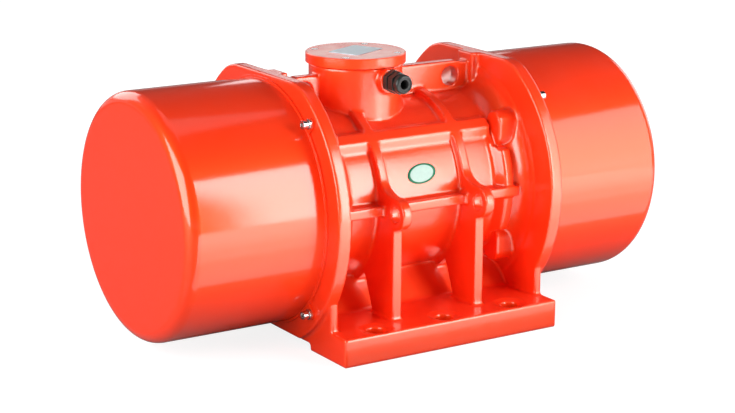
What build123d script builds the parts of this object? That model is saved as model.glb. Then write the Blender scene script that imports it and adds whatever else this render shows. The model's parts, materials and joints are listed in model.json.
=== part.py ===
from build123d import *
import os
from math import cos, radians, sin

# Foot-mounted vibration motor with an eccentric weight pair under a drawn cover at each end.
# Lengths are in millimetres. +X runs along the shaft, -Y faces the cable gland, +Z is up.
# The origin lies on the plane of the feet, midway between all bolt holes.
# Distances called x are from the middle of the motor, and side is -1 at the left, +1 at the right.

os.makedirs("parts", exist_ok=True)

# Clearances
seat_gap = 0.05
body_gap = 0.3
side_play = 0.5

# Feet, walls and end plates of the cast housing
shaft_height = 169.0
foot_length = 314.0
foot_width = 364.0
foot_thickness = 35.0
foot_inner_edge = 100.0
foot_relief = 8.0
foot_hole_radius = 12.0
foot_hole_pitch = 100.0
foot_hole_edge = 22.0
spot_face_radius = 20.0
spot_face_depth = 1.5
wall_toe = 89.0
wall_slope = 48.5
wall_thickness = 14.0
wall_fillet = 8.0
end_plate_width = 300.0
end_plate_thickness = 10.0
end_plate_drop = 97.0

# Barrel, flanges and ribs of the cast housing
barrel_radius = 112.0
barrel_bore_radius = 105.0
collar_radius = 125.5
collar_inner_x = 106.5
collar_slope_length = 9.5
collar_outer_x = 128.0
collar_top = 68.0
collar_notch_x = 114.0
collar_notch_top = 53.0
flange_face_x = 164.0
flange_thickness = 17.0
flange_radius = 179.0
flange_top_flat = 159.0
flange_bottom_flat = 157.5
flange_edge_chamfer = 1.0
flange_corner = 60.0
hub_fillet = 30.0
hub_land = 1.0
spigot_radius = 112.0
rib_height = 8.0
rib_width = 13.0
mid_rib_radius = 128.0
mid_rib_width = 12.5
mid_rib_end_x = 135.5
high_rib_low_angle = 40.8
high_rib_high_angle = 47.5
high_rib_root = 18.0
high_rib_end_x = 114.0
lug_y = 95.0
lug_z = 75.0
lug_radius = 15.0
lug_length = 16.0
lug_inset = 4.5
lug_inner_x = 118.0

# Gussets with tie-down ears
gusset_x = 61.0
gusset_thickness = 13.0
gusset_front = 146.5
gusset_root = 53.0
ear_y = 149.0
ear_radius = 19.5
ear_hole_radius = 10.0
fairing_angle = 20.0

# Lifting webs on the crown
web_thickness = 16.0
web_height = 150.0
web_notch_height = 147.0
web_notch_x = 128.0
web_shoulder_x = 118.0
lift_hole_x = 109.0
lift_hole_height = 130.5
lift_hole_radius = 12.5
pad_width = 32.0
pad_thickness = 10.0
pad_drop = 46.0

# Terminal box
box_x = -30.0
box_radius = 59.0
box_bore_radius = 51.0
box_height = 161.5
box_floor = 131.0
box_screw_radius = 53.0
box_boss_radius = 8.0
box_screw_hole = 2.6
box_screw_depth = 15.0
lid_radius = 63.0
lid_thickness = 11.5
lid_skirt = 3.4
lid_chamfer = 1.0
gasket_thickness = 1.5
lid_screw_radius = 3.0
lid_head_radius = 5.0
lid_head_height = 4.0
lid_screw_length = 20.5
nameplate_length = 60.0
nameplate_width = 43.0
nameplate_thickness = 0.8
nameplate_turn = 25.0
nameplate_corner = 3.0

# Terminal board inside the box
board_length = 62.0
board_width = 42.0
board_thickness = 10.0
board_corner = 4.0
stud_radius = 2.5
stud_height = 21.0
stud_pitch_x = 20.0
stud_pitch_y = 22.0
stud_nut_width = 8.0
stud_nut_height = 4.0

# Cable gland
gland_x = -20.5
gland_height = 146.0
gland_thread_radius = 10.0
gland_thread_length = 20.0
gland_boss_radius = 16.5
gland_boss_face = 69.0
gland_hex_width = 26.5
gland_hex_length = 8.0
gland_neck_length = 1.5
gland_nut_width = 25.0
gland_nut_length = 9.5
gland_collar_length = 7.5
gland_collar_radius = 11.0
gland_groove_radius = 10.5
gland_groove_length = 1.5
gland_dome_length = 8.5
gland_dome_radius = 12.0
gland_dome_round = 3.5
gland_mouth_inset = 1.0
cable_radius = 6.0
seal_wall = 3.0

# Covers over the weights
cover_radius = 152.0
cover_wall = 3.0
cover_length = 182.0
cover_corner = 16.0
lip_width = 3.0
lip_thickness = 3.0
cover_screw_reach = 13.0
cover_screw_tab = 7.0
cover_screw_angle = 45.0
cover_thread_radius = 3.0
cover_thread_length = 14.0
cover_head_radius = 5.2
cover_head_height = 7.5
socket_width = 5.0
socket_depth = 3.0
washer_radius = 6.5
washer_thickness = 3.2

# Stator and rotor
stator_length = 150.0
stator_bore_radius = 66.0
air_gap = 0.5
winding_length = 36.0
winding_inner_radius = 71.0
winding_outer_radius = 99.0
winding_chamfer = 6.0
rotor_core_radius = 38.0
end_ring_inner = 43.0
end_ring_outer = 62.0
end_ring_length = 13.0

# Roller bearings and their brackets
bearing_x = 165.0
bearing_width = 43.0
bearing_outer_radius = 60.0
bearing_inner_radius = 27.5
inner_race_radius = 35.5
roller_radius = 9.0
roller_length = 28.0
roller_count = 12
roller_play = 0.04
ring_rib_radius = 50.0
cage_inner_radius = 41.0
cage_outer_radius = 47.5
cage_end = 4.0
bracket_radius = 145.0
bracket_thickness = 14.0
bracket_hub_radius = 76.0
bracket_lip = 5.0
bracket_lip_radius = 41.0
spigot_length = 12.0
bracket_bolt_radius = 6.0
bracket_bolt_length = 40.0
bracket_head_radius = 9.0
bracket_head_height = 12.0
cap_thickness = 10.0
cap_bolt_circle = 68.0
cap_bolt_radius = 3.0
cap_bolt_length = 18.0
cap_bolt_count = 6
cap_head_radius = 6.0
cap_head_height = 3.0
cover_seal_width = 5.0
cover_seal_depth = 4.0

# Shaft, weights and what holds them
rotor_seat_radius = 38.0
shoulder_radius = 33.0
shaft_end_radius = 25.0
shaft_length = 636.0
shaft_chamfer = 2.0
weight_inner_x = 204.0
weight_thickness = 46.0
weight_radius = 132.0
weight_hub_radius = 45.0
weight_top = 6.0
weight_gap = 1.0
split_width = 3.0
clamp_bolt_radius = 6.0
clamp_bolt_height = 55.0
clamp_head_radius = 9.0
clamp_head_height = 12.0
clamp_flat = 20.0
clamp_margin = 2.0
key_width = 14.0
key_height = 9.0
key_depth = 5.5
key_length = 36.0
ring_width = 3.0
ring_radius = 33.0
ring_groove_depth = 2.0

# Places worked out from the sizes above
both = (-1, 1)
sides = (("left", -1), ("right", 1))
flange_inner_x = flange_face_x - flange_thickness
cover_end_x = flange_face_x + cover_length
stator_half = stator_length / 2
rotor_radius = stator_bore_radius - air_gap
pitch_radius = inner_race_radius + roller_play + roller_radius
outer_race_radius = pitch_radius + roller_radius + roller_play
bearing_inner_x = bearing_x - bearing_width / 2
bearing_outer_x = bearing_x + bearing_width / 2
bracket_outer_x = flange_face_x + bracket_thickness
box_top = shaft_height + box_height
gasket_top = box_top + gasket_thickness
lid_top = gasket_top + lid_thickness
outer_weight_x = weight_inner_x + weight_thickness + weight_gap
weight_end_x = outer_weight_x + weight_thickness
foot_hole_span = foot_width - 2 * foot_hole_edge
end_plate_top = shaft_height - end_plate_drop
lip_radius = cover_radius + lip_width
cover_screw_radius = cover_radius + cover_screw_reach
cover_inside = cover_radius - cover_wall
cover_end_radius = cover_radius - cover_corner
retainer_x = weight_end_x + side_play
lid_screw_spots = [
    (box_screw_radius * cos(radians(a)), box_screw_radius * sin(radians(a)))
    for a in (45, 135, 225, 315)
]
lug_spots = [(y, z) for y in (-lug_y, lug_y) for z in (-lug_z, lug_z)]
lug_inner_y = lug_y - lug_inset
lug_middles = [(y, z) for y in (-lug_inner_y, lug_inner_y) for z in (-lug_z, lug_z)]
hub_x = flange_inner_x - hub_fillet - hub_land

# Planes: one along the shaft for turned profiles, and one across it at each side
shaft_axis = Axis((0, 0, shaft_height), (1, 0, 0))
turning_plane = Plane(origin=(0, 0, shaft_height), x_dir=(1, 0, 0), z_dir=(0, -1, 0))


def across(side, x):
    """Plane across the shaft at distance x from the middle, facing outwards."""
    return Plane(origin=(side * x, 0, shaft_height), x_dir=(0, side, 0), z_dir=(side, 0, 0))


def turned(side, points, mode=Mode.ADD):
    """Closed profile of (x, radius) points, drawn on one side of the middle."""
    return Polygon(*[(side * x, r) for x, r in points], align=None, mode=mode)


def ring(side, x_in, x_out, r_in, r_out, mode=Mode.ADD):
    """Rectangle between two distances and two radii, for turning about the shaft."""
    corners = [(x_in, r_in), (x_out, r_in), (x_out, r_out), (x_in, r_out)]
    return turned(side, corners, mode)


def keep(part, name):
    """Name a finished piece and write it."""
    part.label = name
    export_step(part, f"parts/{name}.step")


# Housing: one casting, kept as simple pieces that meet face to face.
# Its barrel, collars and hubs are turned about the shaft.
wall_run = cos(radians(wall_slope)) / sin(radians(wall_slope))
wall_shift = wall_thickness / sin(radians(wall_slope))
wall_inner_top = end_plate_top
wall_outer_top = end_plate_top + wall_thickness / 2
wall_outline = [
    (-foot_inner_edge, foot_relief),
    (-wall_toe + wall_shift - (foot_thickness - foot_relief) * wall_run, foot_relief),
    (-wall_toe + wall_shift + (wall_inner_top - foot_thickness) * wall_run, wall_inner_top),
    (-wall_toe + (wall_outer_top - foot_thickness) * wall_run, wall_outer_top),
    (-wall_toe, foot_thickness),
    (-foot_inner_edge, foot_thickness),
]
end_view = Plane.YZ
rib_radius = barrel_radius + rib_height

# Collars: flared bands on the flanks only, cut back beside each lug
slope_end_x = collar_inner_x + collar_slope_length
with BuildPart() as collars:
    with BuildSketch(turning_plane):
        for side in both:
            turned(side, [
                (collar_inner_x, barrel_bore_radius),
                (collar_inner_x, barrel_radius),
                (slope_end_x, collar_radius),
                (collar_outer_x, collar_radius),
                (collar_outer_x, barrel_bore_radius),
            ])
    revolve(axis=shaft_axis)
    collar_side = [
        (collar_inner_x, 0),
        (collar_inner_x, collar_top),
        (collar_notch_x, collar_notch_top),
        (collar_outer_x, collar_notch_top),
        (collar_outer_x, 0),
    ]
    with BuildSketch(Plane.XZ.offset(-flange_radius)):
        for side in both:
            for up in both:
                corners = [(side * x, shaft_height + up * z) for x, z in collar_side]
                Polygon(*corners, align=None)
    extrude(amount=2 * flange_radius, mode=Mode.INTERSECT)

with BuildPart() as barrel_form:
    # Hubs: a hollow round from the barrel up to the back of each flange
    with BuildSketch(turning_plane):
        for side in both:
            ring(side, hub_x, flange_inner_x, 0, barrel_radius + hub_fillet)
            with Locations((side * hub_x, barrel_radius + hub_fillet)):
                Circle(hub_fillet, mode=Mode.SUBTRACT)
    revolve(axis=shaft_axis)
    with BuildSketch(turning_plane):
        for side in both:
            ring(side, 0, flange_inner_x, 0, barrel_radius)
            ring(side, gusset_x - rib_width / 2, gusset_x + rib_width / 2, 0, rib_radius)
    revolve(axis=shaft_axis)
    add(collars.part)

    # Ribs along the barrel: one at shaft height on each flank, and one higher up
    with BuildSketch(end_view.offset(-mid_rib_end_x)):
        with Locations((-barrel_radius, shaft_height), (barrel_radius, shaft_height)):
            Rectangle(2 * (mid_rib_radius - barrel_radius), mid_rib_width)
    extrude(amount=2 * mid_rib_end_x)
    low_y = rib_radius * cos(radians(high_rib_low_angle))
    low_z = rib_radius * sin(radians(high_rib_low_angle))
    high_y = rib_radius * cos(radians(high_rib_high_angle))
    high_z = rib_radius * sin(radians(high_rib_high_angle))
    with BuildSketch(end_view.offset(-high_rib_end_x)):
        for front in both:
            Polygon(
                (front * low_y, shaft_height + low_z),
                (front * high_y, shaft_height + high_z),
                (front * (high_y - high_rib_root), shaft_height + high_z),
                (front * low_y, shaft_height + low_z - high_rib_root),
                align=None,
            )
    extrude(amount=2 * high_rib_end_x)

    # Lugs behind the flanges, for the bolts of the bearing brackets
    for side in both:
        with BuildSketch(across(side, lug_inner_x)):
            with Locations(*lug_middles):
                SlotCenterToCenter(lug_length, 2 * lug_radius, rotation=90)
        extrude(amount=flange_inner_x - lug_inner_x)

    # Ears, each with a fairing that flows into the round rib above it
    for side in both:
        with BuildSketch(across(side, gusset_x - gusset_thickness / 2)):
            for front in both:
                start = (
                    front * rib_radius * cos(radians(fairing_angle)),
                    rib_radius * sin(radians(fairing_angle)),
                )
                lead = (front * sin(radians(fairing_angle)), -cos(radians(fairing_angle)))
                with BuildLine():
                    fairing = Spline(start, (front * ear_y, ear_radius), tangents=[lead, (front, 0)])
                    Polyline(
                        fairing @ 1,
                        (front * gusset_front, 0),
                        (front * gusset_front, -ear_radius),
                        (front * gusset_root, -ear_radius),
                        start,
                    )
                make_face()
                with Locations((front * ear_y, 0)):
                    Circle(ear_radius)
        extrude(amount=gusset_thickness)

# The barrel is bored for the stator, and drilled for the bracket bolts and at the ears
with BuildPart() as housing_barrel:
    add(barrel_form.part)
    with BuildSketch(turning_plane):
        for side in both:
            ring(side, 0, flange_inner_x, 0, barrel_bore_radius)
    revolve(axis=shaft_axis, mode=Mode.SUBTRACT)
    for side in both:
        with BuildSketch(across(side, flange_face_x)):
            with Locations(*lug_spots):
                Circle(bracket_bolt_radius)
        extrude(amount=-(bracket_bolt_length - bracket_thickness), mode=Mode.SUBTRACT)
        with BuildSketch(across(side, gusset_x - gusset_thickness / 2)):
            with Locations((-ear_y, 0), (ear_y, 0)):
                Circle(ear_hole_radius)
        extrude(amount=gusset_thickness, mode=Mode.SUBTRACT)
keep(housing_barrel.part, "housing_barrel")

# Feet: two slabs, each with three spot-faced holes
for name, front in (("front", -1), ("back", 1)):
    with BuildPart() as foot:
        with BuildSketch(Plane.XY):
            with Locations((0, front * (foot_width / 2 + foot_inner_edge) / 2)):
                Rectangle(foot_length, foot_width / 2 - foot_inner_edge)
        extrude(amount=foot_thickness)
        with BuildSketch(Plane.XY):
            with Locations((0, front * foot_hole_span / 2)):
                with GridLocations(foot_hole_pitch, 0, 3, 1):
                    Circle(foot_hole_radius)
        extrude(amount=foot_thickness, mode=Mode.SUBTRACT)
        with BuildSketch(Plane.XY.offset(foot_thickness - spot_face_depth)):
            with Locations((0, front * foot_hole_span / 2)):
                with GridLocations(foot_hole_pitch, 0, 3, 1):
                    Circle(spot_face_radius)
        extrude(amount=spot_face_depth, mode=Mode.SUBTRACT)
    keep(foot.part, f"{name}_foot")

# Sloping walls from the feet up to the barrel, with a fillet at the toe
with BuildPart() as foot_walls:
    with BuildSketch(end_view.offset(-flange_inner_x)):
        wall = Polygon(*wall_outline, align=None)
        fillet(wall.vertices().sort_by_distance((-wall_toe, foot_thickness, 0))[0], wall_fillet)
        mirror(about=Plane.YZ)
    extrude(amount=2 * flange_inner_x)
    add(barrel_form.part, mode=Mode.SUBTRACT)
keep(foot_walls.part, "foot_walls")

# Gussets between the feet and the ears
with BuildPart() as foot_gussets:
    for side in both:
        with BuildSketch(across(side, gusset_x - gusset_thickness / 2)):
            for front in both:
                Polygon(
                    (front * gusset_front, -ear_radius),
                    (front * gusset_front, foot_thickness - shaft_height),
                    (front * foot_inner_edge, foot_thickness - shaft_height),
                    (front * gusset_root, -ear_radius),
                    align=None,
                )
        extrude(amount=gusset_thickness)
    add(barrel_form.part, mode=Mode.SUBTRACT)
    add(foot_walls.part, mode=Mode.SUBTRACT)
keep(foot_gussets.part, "foot_gussets")

# Terminal box on the crown: a solid foot up to its floor, and a wall round its hollow
with BuildPart() as terminal_box_foot:
    with BuildSketch(Plane.XY.offset(shaft_height + barrel_radius - box_radius / 2)):
        with Locations((box_x, 0)):
            Circle(box_radius)
    extrude(amount=box_floor - barrel_radius + box_radius / 2)
    add(barrel_form.part, mode=Mode.SUBTRACT)
keep(terminal_box_foot.part, "terminal_box_foot")

# The wall has a screw boss in each corner and a round boss for the gland
with BuildPart() as terminal_box:
    with BuildSketch(Plane.XY.offset(shaft_height + box_floor)):
        with Locations((box_x, 0)):
            Circle(box_radius)
    extrude(amount=box_height - box_floor)
    with BuildSketch(Plane.XZ):
        with Locations((gland_x, shaft_height + gland_height)):
            Circle(gland_boss_radius)
        with Locations((gland_x, box_top)):
            Rectangle(
                2 * gland_boss_radius, 4 * gland_boss_radius,
                align=(Align.CENTER, Align.MAX), mode=Mode.INTERSECT,
            )
    extrude(amount=gland_boss_face)
    with BuildSketch(Plane.XY.offset(shaft_height + box_floor)):
        with Locations((box_x, 0)):
            Circle(box_bore_radius)
            with Locations(*lid_screw_spots):
                Circle(box_boss_radius, mode=Mode.SUBTRACT)
    extrude(amount=box_height - box_floor, mode=Mode.SUBTRACT)
    with BuildSketch(Plane.XY.offset(box_top)):
        with Locations((box_x, 0)):
            with Locations(*lid_screw_spots):
                Circle(box_screw_hole)
    extrude(amount=-box_screw_depth, mode=Mode.SUBTRACT)
    with BuildSketch(Plane.XZ.offset(gland_boss_face)):
        with Locations((gland_x, shaft_height + gland_height)):
            Circle(gland_thread_radius)
    extrude(amount=-gland_thread_length, mode=Mode.SUBTRACT)
    add(terminal_box_foot.part, mode=Mode.SUBTRACT)
keep(terminal_box.part, "terminal_box")

# Lifting webs with their pads, between the box and the flanges
with BuildPart() as lifting_webs:
    for side in both:
        with BuildSketch(Plane.XZ.offset(-web_thickness / 2)):
            web = [
                (box_x, barrel_radius - rib_height),
                (box_x, web_height),
                (side * web_shoulder_x, web_height),
                (side * web_notch_x, web_notch_height),
                (side * flange_inner_x, web_notch_height),
                (side * flange_inner_x, barrel_radius - rib_height),
            ]
            Polygon(*[(x, shaft_height + z) for x, z in web], align=None)
        extrude(amount=web_thickness)
        pad_x = side * (flange_inner_x - pad_thickness / 2)
        with BuildSketch(Plane.XZ.offset(-pad_width / 2)):
            with Locations((pad_x, shaft_height + flange_top_flat)):
                Rectangle(pad_thickness, pad_drop, align=(Align.CENTER, Align.MAX))
        extrude(amount=pad_width)
        with BuildSketch(Plane.XZ.offset(-web_thickness / 2)):
            with Locations((side * lift_hole_x, shaft_height + lift_hole_height)):
                Circle(lift_hole_radius)
        extrude(amount=web_thickness, mode=Mode.SUBTRACT)
    with BuildSketch(Plane.XY.offset(shaft_height)):
        with Locations((box_x, 0)):
            Circle(box_radius)
    extrude(amount=box_height, mode=Mode.SUBTRACT)
    add(barrel_form.part, mode=Mode.SUBTRACT)
keep(lifting_webs.part, "lifting_webs")

# End flanges with flats at the top and the bottom, and the end plate under each
for name, side in sides:
    with BuildPart() as end_flange:
        with BuildSketch(across(side, flange_inner_x)):
            Circle(flange_radius)
            flats = flange_top_flat + flange_bottom_flat
            with Locations((0, (flange_top_flat - flange_bottom_flat) / 2)):
                Rectangle(2 * flange_radius, flats, mode=Mode.INTERSECT)
            fillet(vertices().group_by(Axis.Y)[-1], flange_corner)
        extrude(amount=flange_thickness)
        rim = faces().sort_by(Axis.X)[0 if side < 0 else -1].outer_wire().edges()
        chamfer(rim, length=flange_edge_chamfer)
        with BuildSketch(across(side, foot_length / 2 - end_plate_thickness)):
            with Locations((0, (end_plate_top + foot_relief) / 2 - shaft_height)):
                Rectangle(end_plate_width, end_plate_top - foot_relief)
        extrude(amount=end_plate_thickness)
        with BuildSketch(turning_plane):
            ring(side, 0, flange_face_x, 0, barrel_bore_radius)
            ring(side, flange_face_x - spigot_length, flange_face_x, 0, spigot_radius)
        revolve(axis=shaft_axis, mode=Mode.SUBTRACT)
        with BuildSketch(across(side, flange_face_x)):
            with Locations(*lug_spots):
                Circle(bracket_bolt_radius)
        extrude(amount=-flange_thickness, mode=Mode.SUBTRACT)
        with BuildSketch(across(side, flange_face_x)):
            with PolarLocations(cover_screw_radius, 4, start_angle=cover_screw_angle):
                Circle(cover_thread_radius)
        extrude(amount=-cover_thread_length, mode=Mode.SUBTRACT)
        with BuildSketch(Plane.XY):
            for front in both:
                with Locations((0, front * (foot_width / 2 + foot_inner_edge) / 2)):
                    Rectangle(foot_length, foot_width / 2 - foot_inner_edge)
        extrude(amount=foot_thickness, mode=Mode.SUBTRACT)
    keep(end_flange.part, f"{name}_end_flange")

# Stator: laminated core, and end turns that stand out of it on both sides
with BuildPart() as stator_core:
    with BuildSketch(turning_plane):
        for side in both:
            ring(side, 0, stator_half, stator_bore_radius, barrel_bore_radius - seat_gap)
    revolve(axis=shaft_axis)
keep(stator_core.part, "stator_core")

with BuildPart() as stator_windings:
    for side in both:
        with BuildSketch(turning_plane):
            x_end = stator_half + winding_length
            turned(side, [
                (stator_half, winding_inner_radius),
                (x_end - winding_chamfer, winding_inner_radius),
                (x_end, winding_inner_radius + winding_chamfer),
                (x_end, winding_outer_radius - winding_chamfer),
                (x_end - winding_chamfer, winding_outer_radius),
                (stator_half, winding_outer_radius),
            ])
        revolve(axis=shaft_axis)
keep(stator_windings.part, "stator_windings")

# Rotor: core pressed on the shaft, and a short-circuit ring on each end of it
with BuildPart() as rotor_core:
    with BuildSketch(turning_plane):
        for side in both:
            ring(side, 0, stator_half, rotor_core_radius, rotor_radius)
    revolve(axis=shaft_axis)
keep(rotor_core.part, "rotor_core")

with BuildPart() as rotor_end_rings:
    for side in both:
        with BuildSketch(turning_plane):
            ring(side, stator_half, stator_half + end_ring_length, end_ring_inner, end_ring_outer)
        revolve(axis=shaft_axis)
keep(rotor_end_rings.part, "rotor_end_rings")

# Shaft: rotor seat, shoulders, bearing seats and the two ends that carry the weights
shaft_end_x = shaft_length / 2
seat_end_x = weight_inner_x - side_play
with BuildPart() as shaft:
    with BuildSketch(turning_plane):
        for side in both:
            turned(side, [
                (0, 0),
                (0, rotor_seat_radius),
                (stator_half + end_ring_length, rotor_seat_radius),
                (stator_half + end_ring_length, shoulder_radius),
                (bearing_inner_x, shoulder_radius),
                (bearing_inner_x, bearing_inner_radius),
                (seat_end_x, bearing_inner_radius),
                (seat_end_x, shaft_end_radius),
                (shaft_end_x - shaft_chamfer, shaft_end_radius),
                (shaft_end_x, shaft_end_radius - shaft_chamfer),
                (shaft_end_x, 0),
            ])
            ring(
                side, retainer_x, retainer_x + ring_width,
                shaft_end_radius - ring_groove_depth, shaft_end_radius, mode=Mode.SUBTRACT,
            )
    revolve(axis=shaft_axis)
    for side in both:
        with BuildSketch(Plane.XY.offset(shaft_height + shaft_end_radius - key_depth)):
            with Locations((side * (weight_inner_x + weight_thickness / 2), 0)):
                Rectangle(key_length, key_width)
        extrude(amount=2 * key_depth, mode=Mode.SUBTRACT)
keep(shaft.part, "shaft")

with BuildPart() as shaft_keys:
    for side in both:
        with BuildSketch(Plane.XY.offset(shaft_height + shaft_end_radius - key_depth)):
            with Locations((side * (weight_inner_x + weight_thickness / 2), 0)):
                Rectangle(key_length, key_width)
        extrude(amount=key_height)
keep(shaft_keys.part, "shaft_keys")

# Terminal box lid: disc with a skirt round the gasket and four sunk screws
with BuildPart() as terminal_box_lid:
    with BuildSketch(Plane.XY.offset(gasket_top)):
        with Locations((box_x, 0)):
            Circle(lid_radius)
    extrude(amount=lid_thickness)
    chamfer(faces().sort_by(Axis.Z)[-1].outer_wire().edges(), length=lid_chamfer)
    with BuildSketch(Plane.XY.offset(gasket_top)):
        with Locations((box_x, 0)):
            Circle(lid_radius)
            Circle(lid_radius - lid_skirt, mode=Mode.SUBTRACT)
    extrude(amount=-(gasket_thickness - body_gap))
    with Locations(Location((box_x, 0, lid_top))):
        with Locations(*[(x, y, 0) for x, y in lid_screw_spots]):
            CounterBoreHole(
                lid_screw_radius + body_gap, lid_head_radius + body_gap, lid_head_height,
                depth=lid_thickness,
            )
keep(terminal_box_lid.part, "terminal_box_lid")

with BuildPart() as lid_gasket:
    with BuildSketch(Plane.XY.offset(box_top)):
        with Locations((box_x, 0)):
            Circle(box_radius)
            Circle(box_bore_radius - box_boss_radius, mode=Mode.SUBTRACT)
            with Locations(*lid_screw_spots):
                Circle(lid_screw_radius + body_gap, mode=Mode.SUBTRACT)
    extrude(amount=gasket_thickness - seat_gap)
keep(lid_gasket.part, "lid_gasket")

with BuildPart() as lid_screws:
    with BuildSketch(Plane.XY.offset(lid_top - lid_head_height)):
        with Locations((box_x, 0)):
            with Locations(*lid_screw_spots):
                Circle(lid_head_radius)
    extrude(amount=lid_head_height)
    with BuildSketch(Plane.XY.offset(lid_top - lid_head_height)):
        with Locations((box_x, 0)):
            with Locations(*lid_screw_spots):
                Circle(box_screw_hole - seat_gap)
    extrude(amount=-lid_screw_length)
keep(lid_screws.part, "lid_screws")

with BuildPart() as nameplate:
    with BuildSketch(Plane.XY.offset(lid_top)):
        with Locations(Location((box_x, 0), nameplate_turn)):
            RectangleRounded(nameplate_length, nameplate_width, nameplate_corner)
    extrude(amount=nameplate_thickness)
keep(nameplate.part, "nameplate")

# Terminal board with its studs and nuts, on the floor of the box
board_floor = shaft_height + box_floor
with BuildPart() as terminal_board:
    with BuildSketch(Plane.XY.offset(board_floor)):
        with Locations((box_x, 0)):
            RectangleRounded(board_length, board_width, board_corner)
            with GridLocations(stud_pitch_x, stud_pitch_y, 3, 2):
                Circle(stud_radius + seat_gap, mode=Mode.SUBTRACT)
    extrude(amount=board_thickness)
keep(terminal_board.part, "terminal_board")

with BuildPart() as terminal_studs:
    with BuildSketch(Plane.XY.offset(board_floor)):
        with Locations((box_x, 0)):
            with GridLocations(stud_pitch_x, stud_pitch_y, 3, 2):
                Circle(stud_radius)
    extrude(amount=stud_height)
keep(terminal_studs.part, "terminal_studs")

with BuildPart() as terminal_nuts:
    with BuildSketch(Plane.XY.offset(board_floor + board_thickness)):
        with Locations((box_x, 0)):
            with GridLocations(stud_pitch_x, stud_pitch_y, 3, 2):
                RegularPolygon(stud_nut_width / 2, 6, major_radius=False)
                Circle(stud_radius + seat_gap, mode=Mode.SUBTRACT)
    extrude(amount=stud_nut_height)
keep(terminal_nuts.part, "terminal_nuts")

# Cable gland: body screwed into the boss, dome nut over it, and the sealing insert
gland_face = Plane(
    origin=(gland_x, -gland_boss_face, shaft_height + gland_height),
    x_dir=(1, 0, 0), z_dir=(0, -1, 0),
)
nut_start = gland_hex_length + gland_neck_length
nut_end = nut_start + gland_nut_length
gland_length = nut_end + gland_groove_length + gland_dome_length
with BuildPart() as gland_body:
    with BuildSketch(gland_face.offset(-gland_thread_length)):
        Circle(gland_thread_radius - seat_gap)
    extrude(amount=gland_thread_length)
    with BuildSketch(gland_face):
        RegularPolygon(gland_hex_width / 2, 6, major_radius=False, rotation=30)
    extrude(amount=gland_hex_length)
    with BuildSketch(gland_face.offset(gland_hex_length)):
        Circle(gland_collar_radius)
    extrude(amount=gland_neck_length + gland_collar_length)
    with BuildSketch(gland_face.offset(-gland_thread_length)):
        Circle(cable_radius)
    extrude(amount=gland_length + gland_thread_length, mode=Mode.SUBTRACT)
keep(gland_body.part, "gland_body")

with BuildPart() as gland_nut:
    with BuildSketch(gland_face.offset(nut_start)):
        RegularPolygon(gland_nut_width / 2, 6, major_radius=False, rotation=30)
    extrude(amount=gland_nut_length)
    with BuildSketch(gland_face.offset(nut_end)):
        Circle(gland_groove_radius)
    extrude(amount=gland_groove_length)
    with BuildSketch(gland_face.offset(nut_end + gland_groove_length)):
        Circle(gland_dome_radius)
    extrude(amount=gland_dome_length)
    fillet(faces().sort_by(Axis.Y)[0].edges(), radius=gland_dome_round)
    with BuildSketch(gland_face.offset(nut_start)):
        Circle(gland_collar_radius + seat_gap)
    extrude(amount=gland_collar_length, mode=Mode.SUBTRACT)
    with BuildSketch(gland_face.offset(nut_start)):
        Circle(cable_radius + seal_wall)
    extrude(amount=gland_length, mode=Mode.SUBTRACT)
keep(gland_nut.part, "gland_nut")

with BuildPart() as gland_seal:
    with BuildSketch(gland_face.offset(nut_start + gland_collar_length)):
        Circle(cable_radius + seal_wall - seat_gap)
        Circle(cable_radius, mode=Mode.SUBTRACT)
    extrude(amount=gland_length - nut_start - gland_collar_length - gland_mouth_inset)
keep(gland_seal.part, "gland_seal")

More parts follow.
